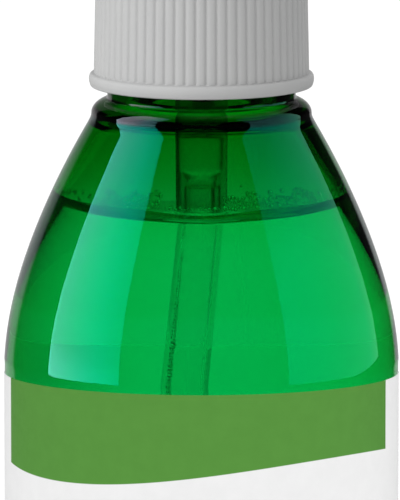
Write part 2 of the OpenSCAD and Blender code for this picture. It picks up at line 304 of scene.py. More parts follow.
def plastic(name, dark, light, rough=(0.36, 0.5), grain=0.000012, sheen=None):
    """Moulded opaque plastic: faint flow marks in the colour, a fine grained skin."""
    m, nt, p, out = material(name)
    flow = noise(nt, 90.0, 3.0, 0.55, stretch=(1.0, 1.0, 0.3))
    nt.links.new(two_tone(nt, flow, dark, light), p.inputs["Base Color"])
    rough_between(nt, p, noise(nt, 700.0, 2.0, 0.5), *rough)
    p.inputs["IOR"].default_value = 1.49
    skin = noise(nt, 2600.0, 3.0, 0.6)
    bump(nt, p, skin, grain)
    return m


collar_mat = plastic("white_pp_collar", (0.350, 0.352, 0.352), (0.368, 0.370, 0.368),
                     rough=(0.42, 0.56), grain=0.00003)
button_mat = plastic("white_pp_button", (0.49, 0.492, 0.488), (0.52, 0.522, 0.516), rough=(0.3, 0.42))
nozzle_mat = plastic("white_pom_nozzle", (0.52, 0.52, 0.51), (0.56, 0.56, 0.55), rough=(0.25, 0.35))
inner_mat = plastic("white_pump_parts", (0.66, 0.67, 0.66), (0.72, 0.72, 0.71), rough=(0.35, 0.5))
stem_mat = plastic("pom_stem", (0.62, 0.63, 0.64), (0.68, 0.69, 0.70), rough=(0.22, 0.32))
piston_mat = plastic("pe_piston", (0.70, 0.70, 0.64), (0.76, 0.76, 0.70), rough=(0.4, 0.5))


def foam_material():
    m, nt, p, out = material("foam_gasket_skin")
    cells = nt.nodes.new("ShaderNodeTexVoronoi")
    cells.inputs["Scale"].default_value = 3200.0
    tc = nt.nodes.new("ShaderNodeTexCoord")
    nt.links.new(tc.outputs["Object"], cells.inputs["Vector"])
    nt.links.new(two_tone(nt, cells.outputs["Distance"], (0.55, 0.55, 0.52), (0.72, 0.72, 0.69), 0.0, 0.5),
                 p.inputs["Base Color"])
    p.inputs["Roughness"].default_value = 0.85
    bump(nt, p, cells.outputs["Distance"], 0.00006)
    return m


def metal(name, a, b, rough):
    m, nt, p, out = material(name)
    n = noise(nt, 900.0, 4.0, 0.6, stretch=(1, 1, 4))
    nt.links.new(two_tone(nt, n, a, b), p.inputs["Base Color"])
    p.inputs["Metallic"].default_value = 1.0
    rough_between(nt, p, n, *rough)
    bump(nt, p, n, 0.000004)
    return m


steel = metal("steel_wire", (0.50, 0.50, 0.52), (0.66, 0.66, 0.68), (0.16, 0.3))
ball_steel = metal("steel_ball_polished", (0.56, 0.57, 0.58), (0.68, 0.69, 0.70), (0.06, 0.14))


def label_material():
    """Printed film: a plain green band over white, its lower edge a slow wave."""
    m, nt, p, out = material("printed_label")
    tc = nt.nodes.new("ShaderNodeTexCoord")
    xyz = nt.nodes.new("ShaderNodeSeparateXYZ")
    nt.links.new(tc.outputs["Object"], xyz.inputs[0])
    x, y, z = xyz.outputs
    front = math_node(nt, "MULTIPLY", y, -1.0)
    az = math_node(nt, "ARCTAN2", x, front)          # 0 at the front, + to the right
    sway = math_node(nt, "SINE", math_node(nt, "MULTIPLY_ADD", az, 1.95, 0.12))
    edge = math_node(nt, "MULTIPLY_ADD", sway, 0.0019, 0.0662)
    over = math_node(nt, "SUBTRACT", z, edge)
    band = step_up(nt, over, -0.00006, 0.00006)
    shift = math_node(nt, "ABSOLUTE", math_node(nt, "ADD", az, 0.052))
    inside = math_node(nt, "SUBTRACT", 1.0, step_up(nt, shift, 1.231, 1.235))
    # a thin rule of the same green near the foot of the label
    rule = math_node(nt, "MULTIPLY", step_up(nt, z, 0.01194, 0.01206),
                     math_node(nt, "SUBTRACT", 1.0, step_up(nt, z, 0.01374, 0.01386)))
    ink = math_node(nt, "MAXIMUM", math_node(nt, "MULTIPLY", band, inside), rule, clamp=True)
    mottle = noise(nt, 420.0, 3.0, 0.55)
    green = two_tone(nt, mottle, (0.098, 0.300, 0.047), (0.103, 0.312, 0.050))
    white = two_tone(nt, mottle, (0.875, 0.875, 0.875), (0.895, 0.895, 0.895))
    mix = nt.nodes.new("ShaderNodeMix")
    mix.data_type = "RGBA"
    nt.links.new(ink, mix.inputs["Factor"])
    nt.links.new(white, mix.inputs[6])
    nt.links.new(green, mix.inputs[7])
    nt.links.new(mix.outputs[2], p.inputs["Base Color"])
    rough_between(nt, p, noise(nt, 1500.0, 2.0, 0.5), 0.42, 0.52)
    p.inputs["IOR"].default_value = 1.45
    p.inputs["Specular IOR Level"].default_value = 0.12
    bump(nt, p, noise(nt, 1800.0, 3.0, 0.6), 0.000006)
    return m


def label_back_material():
    m, nt, p, out = material("label_back")
    n = noise(nt, 420.0, 3.0, 0.55)
    nt.links.new(two_tone(nt, n, (0.84, 0.84, 0.83), (0.90, 0.90, 0.89)), p.inputs["Base Color"])
    rough_between(nt, p, n, 0.5, 0.6)
    # painted light: the back of the label glows as if daylight came through the film, brightest straight
    # behind, dimmer towards the sides, low down and at the front
    tc = nt.nodes.new("ShaderNodeTexCoord")
    xyz = nt.nodes.new("ShaderNodeSeparateXYZ")
    nt.links.new(tc.outputs["Object"], xyz.inputs[0])
    turn = math_node(nt, "ARCTAN2", xyz.outputs[0], xyz.outputs[1])     # 0 at the back
    painted_glow = two_tone(nt, step_up(nt, turn, -0.42, -0.16), (0.62, 0.62, 0.62), (1, 1, 1), 0.0, 1.0)
    glow_dimmed_low = two_tone(nt, step_up(nt, xyz.outputs[2], 0.042, 0.063), (0.12, 0.12, 0.12), (1, 1, 1), 0.0, 1.0)
    near = math_node(nt, "ABSOLUTE", turn)
    front = two_tone(nt, step_up(nt, near, 1.7, 2.2), (1, 1, 1), (0.15, 0.15, 0.15), 0.0, 1.0)
    for part in (glow_dimmed_low, front):
        mul = nt.nodes.new("ShaderNodeMix")
        mul.data_type, mul.blend_type = "RGBA", "MULTIPLY"
        mul.inputs[0].default_value = 1.0
        nt.links.new(painted_glow, mul.inputs[6])
        nt.links.new(part, mul.inputs[7])
        painted_glow = mul.outputs[2]
    # the painted glow goes into the emission of the label's back
    nt.links.new(painted_glow, p.inputs["Emission Color"])
    p.inputs["Emission Strength"].default_value = 0.96
    return m


# ------------------------------------------------------------------ bottle
thread_z0 = LAND_Z - 2.4 - LIFT
outer = chain(
    curve([(0, PUSH), (RING_R * 0.55, PUSH), (RING_R * 0.88, 1.6), (RING_R, 0)], 28),
    line((RING_R, 0), (BODY_R - FOOT_R, 0), 3),
    arc((BODY_R - FOOT_R, FOOT_R), FOOT_R, FOOT_R, -90, 0, 20),
    [(BODY_R, 6.5), (PANEL_R, 6.9)],
    line((PANEL_R, 6.9), (PANEL_R, PANEL_TOP), 24),
    curve(shoulder_ctl(0), 110, 0.055, 1.0),
    curve([END, (END[0] - 0.55, END[1] + 0.95), (CREASE_R, CREASE_Z - 0.55), (CREASE_R, CREASE_Z)], 16),
    curve([(CREASE_R, CREASE_Z), (CREASE_R, CREASE_Z + 1.1), (15.15, ROLL_TOP - 0.82),
           (14.45, ROLL_TOP - 0.66)], 30),
    curve([(14.45, ROLL_TOP - 0.66), (14.1, ROLL_TOP - 0.58), (NECK_R, ROLL_TOP - 0.55),
           (NECK_R, ROLL_TOP - 0.2)], 12),
    line((NECK_R, ROLL_TOP - 0.2), (NECK_R, FLARE_Z + 0.9), 6),
    line((NECK_R, FLARE_Z + 0.9), (FINISH_R, FLARE_Z + 2.2), 6),
    line((FINISH_R, FLARE_Z + 2.2), (FINISH_R, LAND_Z - 0.4), 58),
    line((FINISH_R, LAND_Z - 0.4), (FINISH_R - 0.4, LAND_Z), 2),
)


def thick(z):
    """How much more than WALL the blown wall is towards the neck."""
    t = max(0.0, min(1.0, (z - 95.0) / 24.0))
    return 1.05 * t * t * t * (10 + t * (6 * t - 15))


even = curve(shoulder_ctl(WALL), 110, 1.0, 0.0)
in_sh = []
for i, (r, z) in enumerate(even):
    a, b = even[max(0, i - 1)], even[min(len(even) - 1, i + 1)]
    t = math.hypot(b[0] - a[0], b[1] - a[1])
    in_sh.append((r + thick(z) * (b[1] - a[1]) / t, z - thick(z) * (b[0] - a[0]) / t))
top_in = in_sh[0]
up_in = np.array(in_sh[0]) - np.array(in_sh[2])
up_in = top_in + up_in / np.linalg.norm(up_in) * 2.3
NECK_IN = 11.1
inner = chain(
    line((BORE_R, LAND_Z), (BORE_R, ROLL_TOP + 4.4), 8),
    curve([(BORE_R, ROLL_TOP + 4.4), (BORE_R, ROLL_TOP + 3.2), (NECK_IN, ROLL_TOP + 2.9),
           (NECK_IN, ROLL_TOP + 1.8)], 10),
    line((NECK_IN, ROLL_TOP + 1.8), (NECK_IN, ROLL_TOP), 4),
    curve([(NECK_IN, ROLL_TOP), (NECK_IN, ROLL_TOP - 2.0),
           up_in, top_in], 30),
    in_sh,
    arc((BODY_R - FOOT_R, FOOT_R), FOOT_R - WALL, FOOT_R - WALL, 0, -90, 20),
    [(RING_R + 0.8, WALL)],
    curve([(RING_R + 0.8, WALL), (RING_R * 0.88, 1.6 + WALL), (RING_R * 0.55, PUSH + WALL),
           (0, PUSH + WALL)], 28),
)


def slim(points):
    """The shoulder draws in a touch above the panel."""
    return [(r - 0.12 * smooth01((z - 84) / 20) * (1 - smooth01((z - 116.8) / 2)) if r > 10.0 and z > 80
             else r, z) for r, z in points]


outer, inner = slim(outer), slim(inner)
n_outer = len(outer)


def finish_push(a, r, z, k):
    if k < n_outer and z > FLARE_Z + 1.6 and z < LAND_Z - 0.3:
        root = r
        return root + (THREAD_R - FINISH_R) * thread_height(a, z, thread_z0)
    return r


bottle = lathe("bottle_shell", chain(outer, inner), 256, push=finish_push, sharp=50)
bottle.data.materials.append(pet)
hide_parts("bottle")
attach(bottle, "container")

# ------------------------------------------------------------------ mouthwash
OVER = 0.12
body_in = [p for p in reversed(inner)]      # base centre, up the wall
wet = []
for i, (r, z) in enumerate(body_in):
    a = body_in[max(0, i - 1)]
    b = body_in[min(len(body_in) - 1, i + 1)]
    t = math.hypot(b[0] - a[0], b[1] - a[1])
    nr, nz = (b[1] - a[1]) / t, -(b[0] - a[0]) / t
    wet.append((max(0.0, r + OVER * nr) if r > 1e-6 else 0.0, z + OVER * nz))


def wall_r(z):
    zs = [p[1] for p in wet if p[1] > 20 and p[1] < 114]
    rs = [p[0] for p in wet if p[1] > 20 and p[1] < 114]
    return float(np.interp(z, zs, rs))


CLIMB = 3.0
EDGE = [0.05, 0.12, 0.22, 0.36, 0.54, 0.76, 1.02, 1.35, 1.75, 2.25, 2.9, 3.7, 4.8, 6.2, 8.0, 10.0, 12.5]
side = [p for p in wet if p[1] < FILL_Z - 1.5 or p[0] < 20 and p[1] < 20]


def climb(a):
    """How far the liquid creeps up the wall at this angle (the front is at -90 deg)."""
    toward = -math.sin(a)
    dip = 0.6 * math.exp(-(math.cos(a) / 0.3) ** 2) if toward > 0 else 0.0
    return 0.12 + (CLIMB - dip - 0.12) * smooth01((toward + 0.62) / 0.5)


def fill_profile(a):
    h = climb(a)
    touch = FILL_Z + h
    up = [(wall_r(z), z) for z in np.linspace(FILL_Z - 1.2, touch, 10)]
    r0 = wall_r(touch)
    down = [(r0 - d, FILL_Z + h * math.exp(-((d / 1.25) ** 0.7))) for d in EDGE]
    down += [(r, FILL_Z + 0.8 * math.exp(-(r - 3.84) / 0.7)) for r in (5.6, 5.0, 4.6, 4.3, 4.1, 3.95, 3.86)]
    down += [(3.6, FILL_Z + 0.78), (2.0, FILL_Z + 0.75), (0, FILL_Z + 0.75)]
    return side + up + down


def make_fill():
    seg = 256
    verts, rows = [], []
    cols = [fill_profile(2 * math.pi * j / seg) for j in range(seg)]
    for k in range(len(cols[0])):
        if cols[0][k][0] < 1e-6:
            rows.append([len(verts)] * seg)
            verts.append((0, 0, cols[0][k][1] * MM))
            continue
        rows.append(list(range(len(verts), len(verts) + seg)))
        for j in range(seg):
            a, (r, z) = 2 * math.pi * j / seg, cols[j][k]
            verts.append((r * MM * math.cos(a), r * MM * math.sin(a), z * MM))
    faces = []
    for lo, hi in zip(rows, rows[1:]):
        for j in range(seg):
            k = (j + 1) % seg
            face = []
            for v in (lo[j], lo[k], hi[k], hi[j]):
                if v not in face:
                    face.append(v)
            if len(face) > 2:
                faces.append(face)
    return mesh_object("mouthwash_fill", verts, faces, 60)


liquid = make_fill()
liquid.data.materials.append(wash)
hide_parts("mouthwash")
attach(liquid, "container")


def dome(verts, faces, centre, n, t, rho, high, sink, seg=10, rings=4, long=1.0):
    """A small round bead on a wall: n points away from the wall, t lies along it."""
    s_ = n.cross(t)
    start = len(verts)
    verts.append(tuple(centre - n * sink))
    for i in range(rings):
        e = math.pi / 2 * i / rings
        rr, hh = rho * math.cos(e), high * math.sin(e)
        for j in range(seg):
            a = 2 * math.pi * j / seg
            verts.append(tuple(centre + t * (rr * math.cos(a)) + s_ * (rr * long * math.sin(a))
                               + n * (hh - sink * (1 - i / rings))))
    verts.append(tuple(centre + n * high))
    last = len(verts) - 1
    for j in range(seg):
        k = (j + 1) % seg
        faces.append([start, start + 1 + k, start + 1 + j])
        for i in range(rings - 1):
            a = start + 1 + i * seg
            faces.append([a + j, a + k, a + seg + k, a + seg + j])
        a = start + 1 + (rings - 1) * seg
        faces.append([a + j, a + k, last])


def make_droplets():
    """Beads left on the inside of the wall just above the liquid."""
    rng = random.Random(11)
    zs = np.array([p[1] for p in reversed(in_sh)])
    rs = np.array([p[0] for p in slim(list(reversed(in_sh)))])
    verts, faces, placed = [], [], []

    def bead(az, z, rho):
        for q in placed:
            if math.hypot((q[0] - az) * 24, q[1] - z) < 0.8 * (q[2] + rho):
                return
        placed.append((az, z, rho))
        r = float(np.interp(z, zs, rs))
        slope = (float(np.interp(z + 0.3, zs, rs)) - float(np.interp(z - 0.3, zs, rs))) / 0.6
        out = Vector((math.sin(az), -math.cos(az), 0))
        n = Vector((-out.x, -out.y, slope)).normalized()
        t = Vector((math.cos(az), math.sin(az), 0))
        c = (out * r + Vector((0, 0, z))) * MM
        dome(verts, faces, c, n, t, rho * MM, rho * rng.uniform(0.35, 0.5) * MM, 0.07 * MM,
             long=rng.uniform(1.0, 1.35))

    low = FILL_Z + CLIMB + 0.12
    for a0, a1, high, count in ((-44, -17, 2.6, 900), (9, 52, 2.3, 1100), (-17, 9, 0.4, 60),
                                (52, 110, 1.6, 60), (-110, -44, 1.6, 60)):
        for _ in range(count):
            az = math.radians(rng.uniform(a0, a1))
            ragged = high * (0.72 + 0.28 * math.sin(az * 23 + a0) * math.sin(az * 9.1 + 1))
            z = low + ragged * rng.random() ** 1.35
            bead(az, z, rng.choice((0.1, 0.13, 0.16, 0.2, 0.26, 0.32)))
    for az, z, rho in ((0.52, 106.4, 0.42), (0.62, 106.55, 0.36), (-0.55, 107.9, 0.2), (0.3, 107.6, 0.18)):
        bead(az, z, rho)
    return mesh_object("wall_droplets", verts, faces, 60)


droplets = make_droplets()
droplets.data.materials.append(wash)
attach(droplets, "container")

# ------------------------------------------------------------------ label
LAB_R, LAB_Z0, LAB_Z1, LAB_WAVE = PANEL_R + 0.02, 7.5, 78.62, 1.4


def make_label():
    seg, rows = 240, 48
    verts, faces, mats = [], [], []
    start = math.radians(90)                     # the seam is at the back
    for side_, r0 in ((0, PANEL_R + 0.09), (1, LAB_R)):
        for j in range(seg + 1):
            a = start + 2 * math.pi * j / seg + (0.09 if j == seg else 0.0)
            # the last strip lies over the first
            lap = 0.025 * smooth01((j - (seg - 4)) / 3.0)
            r = r0 + lap
            x, y = r * math.cos(a), r * math.sin(a)
            zt = LAB_Z1 - LAB_WAVE - LAB_WAVE * y / PANEL_R
            for i in range(rows + 1):
                z = LAB_Z0 + (zt - LAB_Z0) * i / rows
                verts.append((x * MM, y * MM, z * MM))
    w = rows + 1
    m = (seg + 1) * w
    for j in range(seg):
        for i in range(rows):
            a = j * w + i
            faces.append([a, a + w, a + w + 1, a + 1]); mats.append(0)
            a += m
            faces.append([a, a + 1, a + w + 1, a + w]); mats.append(1)
    for j in range(seg):
        a, b = j * w, (j + 1) * w
        faces.append([a, a + m, b + m, b]); mats.append(0)
        a, b = a + rows, b + rows
        behind = j < seg // 4 or j >= seg - seg // 4
        faces.append([a, b, b + m, a + m]); mats.append(1 if behind else 0)
    for i in range(rows):
        a = i
        faces.append([a, a + 1, a + 1 + m, a + m]); mats.append(0)
        a = seg * w + i
        faces.append([a, a + m, a + 1 + m, a + 1]); mats.append(0)
    ob = mesh_object("label_wrap", verts, faces, 40)
    ob.data.materials.append(label_material())
    ob.data.materials.append(label_back_material())
    ob.data.polygons.foreach_set("material_index", mats)
    return ob


label = make_label()
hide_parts("label")
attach(label, "container")

# ------------------------------------------------------------------ screw collar
RIBS, RIB_D, COL_R = 64, 0.3, 16.0


def rib_push(a, r, z, k):
    mode = collar_mode[k]
    if mode == "rib":
        s = (a / (2 * math.pi) * RIBS + 0.04) % 1.0
        # crest at the front centre, narrow groove between the ribs
        h = 1 - abs(2 * ((s + 0.5) % 1.0) - 1) ** 3.0
        fade = rib_fade[k]
        taper = 0.021 * max(0.0, z - SKIRT_Z)
        return r - taper - RIB_D * (1 - h) * fade
    if mode == "thread":
        return r - (14.15 - 12.95) * thread_height(a, z, thread_z0 - PITCH / 2)
    return r


collar_mode, rib_fade, prof = [], [], []


def put(points, mode, fade=None):
    for i, p in enumerate(points):
        if prof and math.hypot(p[0] - prof[-1][0], p[1] - prof[-1][1]) < 1e-4:
            continue
        prof.append((float(p[0]), float(p[1])))
        collar_mode.append(mode)
        rib_fade.append(fade[i] if fade else 0.0)


put([(14.6, FLARE_Z), (14.9, FLARE_Z - 0.16), (16.2, FLARE_Z - 0.16)], "plain")
put(arc((16.2, FLARE_Z + 0.2), 0.36, 0.36, -75, -10, 5), "plain")
put(curve([(16.6, FLARE_Z + 0.3), (16.74, FLARE_Z + 0.66), (16.76, FLARE_Z + 1.2),
           (16.62, FLARE_Z + 1.52)], 10), "plain")
put(curve([(16.62, FLARE_Z + 1.52), (16.54, FLARE_Z + 1.72), (16.36, FLARE_Z + 1.83),
           (16.06, SKIRT_Z)], 8), "plain")
put([(COL_R - 0.02, SKIRT_Z + 0.02)], "rib", [0.25])
put([(COL_R, SKIRT_Z + 0.14)], "rib", [0.9])
z_rib = list(np.linspace(SKIRT_Z + 0.3, TOP_Z - 2.1, 20))
put([(COL_R, z) for z in z_rib], "rib", [1.0] * 20)
put([(COL_R - 0.06, TOP_Z - 1.95), (COL_R - 0.2, TOP_Z - 1.82), (COL_R - 0.42, TOP_Z - 1.75)],
    "rib", [0.9, 0.6, 0.15])
put([(COL_R - 0.62, TOP_Z - 1.5)], "plain")
put(arc((COL_R - RIB_D - 1.22, TOP_Z - 1.2), 1.12, 1.2, 8, 90, 9), "plain")
put(line((COL_R - 2.6, TOP_Z), (10.9, TOP_Z), 4), "plain")
put(arc((10.9, TOP_Z + 0.55), 0.62, 0.55, -90, -180, 5), "plain")
put([(10.17, TOP_Z + 1.4)], "plain")
put([(10.15 + 0.15 * math.sin(math.pi * i / 8), TOP_Z + 1.5 + i / 8) for i in range(9)], "plain")
put([(10.12, TOP_Z + 3.4), (10.1, TOP_Z + 4.2)], "plain")
put(arc((9.62, TOP_Z + 4.22), 0.48, 0.48, 0, 90, 6), "plain")
put([(8.4, TOP_Z + 4.70)], "plain")
put(arc((7.78, TOP_Z + 4.32), 0.38, 0.38, 90, 180, 5), "plain")
put(line((7.4, TOP_Z + 3.8), (7.4, PLATE_Z + 0.05), 4), "plain")
put([(7.4, PLATE_Z), (13.9, PLATE_Z)], "plain")
put([(14.15, PLATE_Z - 0.25)], "plain")
put([(14.15, z) for z in np.linspace(PLATE_Z - 0.6, SKIRT_Z + 0.55, 66)], "thread")
put([(14.6, SKIRT_Z)], "plain")

collar = lathe("ribbed_collar", prof, 768, closed=True, push=rib_push, sharp=42)
collar.data.materials.append(collar_mat)
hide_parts("screw_collar")
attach(collar, "collar")

# ------------------------------------------------------------------ pump housing
HOUSE_R, TAIL_R, TUBE_R, TUBE_IN, PUMP_R = 3.98, 3.78, 2.55, 1.75, 2.85
house = chain(
    arc((TAIL_R - 0.32, TAIL_Z + 0.32), 0.32, 0.32, -90, 0, 6),
    line((TAIL_R, TAIL_Z + 0.4), (HOUSE_R, FLANGE_Z - 3.6), 24),
    curve([(HOUSE_R, FLANGE_Z - 3.6), (HOUSE_R, FLANGE_Z - 2.7), (6.15, FLANGE_Z - 2.6),
           (6.3, FLANGE_Z - 0.3)], 10),
    [(6.4, FLANGE_Z), (12.3, FLANGE_Z)],
    arc((12.3, FLANGE_Z + 0.3), 0.3, 0.3, -90, 0, 4),
    arc((12.3, COVER_Z - 0.3), 0.3, 0.3, 0, 90, 4),
    [(5.6, COVER_Z), (5.6, FLANGE_Z - 0.4), (PUMP_R, FLANGE_Z - 0.4)],
    line((PUMP_R, FLANGE_Z - 0.5), (PUMP_R, SEAT_Z), 10),
    [(1.3, SEAT_Z), (1.3, SEAT_Z - 0.3), (1.75, SEAT_Z - 0.4), (1.75, SEAT_Z - 2.75),
     (0.9, SEAT_Z - 3.6), (0.9, SEAT_Z - 5.2), (2.3, SEAT_Z - 5.4), (3.0, SEAT_Z - 6.1)],
    line((3.0, SEAT_Z - 6.2), (2.9, TAIL_Z + 7.2), 6),
    curve([(2.9, TAIL_Z + 7.2), (2.88, TAIL_Z + 5.9), (TUBE_IN + 0.22, TAIL_Z + 6.3),
           (TUBE_IN + 0.2, TAIL_Z + 4.8)], 14),
    [(TUBE_IN + 0.2, TAIL_Z + 4.7), (TUBE_R + 0.03, TAIL_Z + 4.7),
     (TUBE_R + 0.03, TAIL_Z + 0.3), (TUBE_R + 0.3, TAIL_Z)],
)
housing = lathe("pump_barrel", house, 96, closed=True, sharp=30)
housing.data.materials.append(pp_natural)
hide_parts("pump_housing")
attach(housing, "pump")

# ------------------------------------------------------------------ dip tube
TILT, BEND, SHORT_R, LONG_LEN, AZ = 9.0, 7.0, 22.0, 98.2, math.radians(116)
LONG_R = LONG_LEN / math.radians(BEND)
SHORT_LEN = SHORT_R * math.radians(TILT)


def lean(s):
    if s <= 0:
        return 0.0
    if s <= SHORT_LEN:
        return s / SHORT_R
    return math.radians(TILT) + (s - SHORT_LEN) / LONG_R


def tube_pt(s):
    t = math.radians(TILT)
    if s <= 0:
        return 0.0, TAIL_Z - s
    a = lean(s)
    if s <= SHORT_LEN:
        return SHORT_R * (1 - math.cos(a)), TAIL_Z - SHORT_R * math.sin(a)
    return (SHORT_R * (1 - math.cos(t)) + LONG_R * (math.cos(t) - math.cos(a)),
            TAIL_Z - SHORT_R * math.sin(t) - LONG_R * (math.sin(a) - math.sin(t)))


def on_tube(s, r, phi, cut=0.0):
    """A point r from the tube's centre line at s, at angle phi round it."""
    p, a = tube_pt(s), lean(s)
    u, v = r * math.cos(phi), r * math.sin(phi)
    q = (p[0] + u * math.cos(a) - cut * math.sin(a), p[1] + u * math.sin(a) + cut * math.cos(a))
    return ((q[0] * math.cos(AZ) - v * math.sin(AZ)) * MM,
            (q[0] * math.sin(AZ) + v * math.cos(AZ)) * MM, q[1] * MM)


def make_tube():
    sides = 64
    stops = list(np.linspace(-4.6, 0, 6)) + list(np.linspace(0, SHORT_LEN, 8))[1:] \
        + list(np.linspace(SHORT_LEN, SHORT_LEN + LONG_LEN, 60))[1:]
    last = len(stops) - 1
    verts, rings = [], []

    def ring(k, r, soft=0.0):
        s = stops[k]
        row = []
        for j in range(sides):
            phi = 2 * math.pi * j / sides
            u = r * math.cos(phi)
            cut = 0.45 * (u + TUBE_R) if k == last else 0.0
            if k == 0:
                cut = -soft
            row.append(len(verts))
            verts.append(on_tube(s, r, phi, cut))
        rings.append(row)

    ring(0, TUBE_R - 0.15, 0.0)
    ring(0, TUBE_R, 0.12)
    for k in range(1, last + 1):
        ring(k, TUBE_R)
    for k in range(last, 0, -1):
        ring(k, TUBE_IN)
    ring(0, TUBE_IN, 0.12)
    ring(0, TUBE_IN + 0.15, 0.0)
    faces = []
    for i in range(len(rings)):
        lo, hi = rings[i], rings[(i + 1) % len(rings)]
        for j in range(sides):
            k = (j + 1) % sides
            faces.append([lo[j], hi[j], hi[k], lo[k]])
    return mesh_object("dip_tube_bent", verts, faces, 40)


tube = make_tube()
tube.data.materials.append(pe_natural)
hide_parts("dip_tube")
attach(tube, "pump")


def make_bubbles():
    """A string of small bubbles clinging to the inside of the dip tube."""
    rng = random.Random(5)
    verts, faces = [], []
    s_ = 1.5
    while s_ < LONG_LEN - 4:
        big = 0.07 + 0.33 * min(1.0, s_ / 26.0)
        rho = big * rng.uniform(0.55, 1.15)
        phi = math.radians(rng.uniform(66, 84))
        c = Vector(on_tube(s_, TUBE_IN, phi))
        n = (Vector(on_tube(s_, 0.0, phi)) - c).normalized()
        t = (Vector(on_tube(s_ + 0.5, TUBE_IN, phi)) - c).normalized()
        stretch = rng.uniform(0.8, 1.1)
        if abs(c.z / MM - (FILL_Z - 6.35)) > 0.9:    # none at the liquid line of the raised tube
            dome(verts, faces, c + n * 0.02 * MM, n, t, rho * MM, rho * 0.8 * MM, 0.02 * MM,
                 long=stretch)
        s_ += rho * rng.uniform(0.9, 1.9)
    return mesh_object("tube_bubbles", verts, faces, 60)


bubbles = make_bubbles()
bubbles.data.materials.append(bubble)
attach(bubbles, "pump")

# ------------------------------------------------------------------ spring
def make_spring():
    r, wire, coils, n, sides = 2.25, 0.5, 8, 40, 12
    z0, z1 = SEAT_Z + 0.05 + wire / 2, PISTON_Z - 0.05 - wire / 2
    turns = coils + 2
    steps = turns * n

    def rise_(t):
        e = wire * 1.05
        if t <= 1:
            return t * e
        if t >= turns - 1:
            return (z1 - z0) - (turns - t) * e
        return e + ((z1 - z0) - 2 * e) * (t - 1) / (turns - 2)

    verts, faces = [], []
    for i in range(steps + 1):
        a = 2 * math.pi * i / n
        z = z0 + rise_(i / n)
        for j in range(sides):
            b = 2 * math.pi * j / sides
            q = r + wire / 2 * math.cos(b)
            verts.append((q * math.cos(a) * MM, q * math.sin(a) * MM, (z + wire / 2 * math.sin(b)) * MM))
    for i in range(steps):
        for j in range(sides):
            a, b = sides * i + j, sides * i + (j + 1) % sides
            faces.append([a, a + sides, b + sides, b])
    faces.append([j for j in range(sides)])
    faces.append([sides * steps + j for j in range(sides - 1, -1, -1)])
    return mesh_object("return_coil", verts, faces, 40)


spring = make_spring()
spring.data.materials.append(steel)
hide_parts("return_spring")
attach(spring, "pump")
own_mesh(spring)

# ------------------------------------------------------------------ overcap
Z0, OC_R, OC_H, OC_W = TOP_Z + 0.06, 11.7, 25.0, 1.0
Z1, OC_E = Z0 + OC_H, OC_R - 0.45
cap_profile = chain(
    [(10.62, Z0 + 0.02), (10.9, Z0)],
    [(OC_R - 0.3, Z0)],
    arc((OC_R - 0.3, Z0 + 0.3), 0.3, 0.3, -90, 0, 5),
    line((OC_R, Z0 + 0.32), (OC_E, Z1 - 2.2), 30),
    arc((OC_E - 2.2, Z1 - 2.2), 2.2, 2.2, 0, 90, 20),
    curve([(OC_E - 2.2, Z1), (7.6, Z1), (7.0, Z1 - 0.18), (0, Z1 - 0.2)], 14),
    curve([(0, Z1 - 0.2 - OC_W), (6.6, Z1 - OC_W - 0.16), (7.6, Z1 - OC_W), (OC_E - 2.2, Z1 - OC_W)], 14),
    arc((OC_E - 2.2, Z1 - 2.2), 2.2 - OC_W, 2.2 - OC_W, 90, 0, 14),
    line((OC_E - OC_W, Z1 - 2.3), (10.55, Z0 + 4.2), 20),
    [(10.42, Z0 + 3.6), (10.42, Z0 + 2.9)],
    [(10.42 - 0.08 * math.sin(math.pi * i / 6), Z0 + 2.8 - 0.7 * i / 6) for i in range(7)],
    [(10.42, Z0 + 1.6), (10.42, Z0 + 0.4)],
)
overcap = lathe("clear_overcap", cap_profile, 192, closed=True, sharp=50)
overcap.data.materials.append(pp_clear)
overcap.visible_shadow = False      # the room lights the button through the clear wall
overcap.visible_diffuse = False
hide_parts("overcap")
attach(overcap, "cover")

# ------------------------------------------------------------------ carried-over pieces
for name, mat, slot in (
    ("gasket", foam_material(), "foam"),
    ("pump_retainer", inner_mat, "pump_white"),
    ("valve_ball", ball_steel, "steel_ball"),
    ("piston", piston_mat, "piston_pe"),
    ("stem", stem_mat, "stem_pom"),
    ("finger_button", button_mat, "button_white"),
    ("nozzle_insert", nozzle_mat, "nozzle_white"),
):
    o = nodes[name]
    o.data.materials.clear()
    o.data.materials.append(mat)

# ------------------------------------------------------------------ stage and light
def floor():
    verts, faces, seg = [(0, 0, -0.00005)], [], 96
    for r in (0.1, 0.3, 0.55):
        for j in range(seg):
            a = 2 * math.pi * j / seg
            verts.append((r * math.cos(a), r * math.sin(a), -0.00005))
    for j in range(seg):
        faces.append([0, 1 + j, 1 + (j + 1) % seg])
        for k in range(2):
            a, b = 1 + k * seg + j, 1 + k * seg + (j + 1) % seg
            faces.append([a, a + seg, b + seg, b])
    ob = mesh_object("table_top", verts, faces, 0)
    m, nt, p, out = material("pale_table")
    p.inputs["Base Color"].default_value = (0.88, 0.88, 0.88, 1)
    p.inputs["Roughness"].default_value = 0.8
    p.inputs["Specular IOR Level"].default_value = 0.1
    p.inputs["Emission Color"].default_value = (1, 1, 1, 1)
    p.inputs["Emission Strength"].default_value = 0.33
    ob.data.materials.append(m)
    ob.visible_glossy = False
    ob.visible_transmission = False      # its far edge would band the clear shoulder
    return ob


table_top = floor()

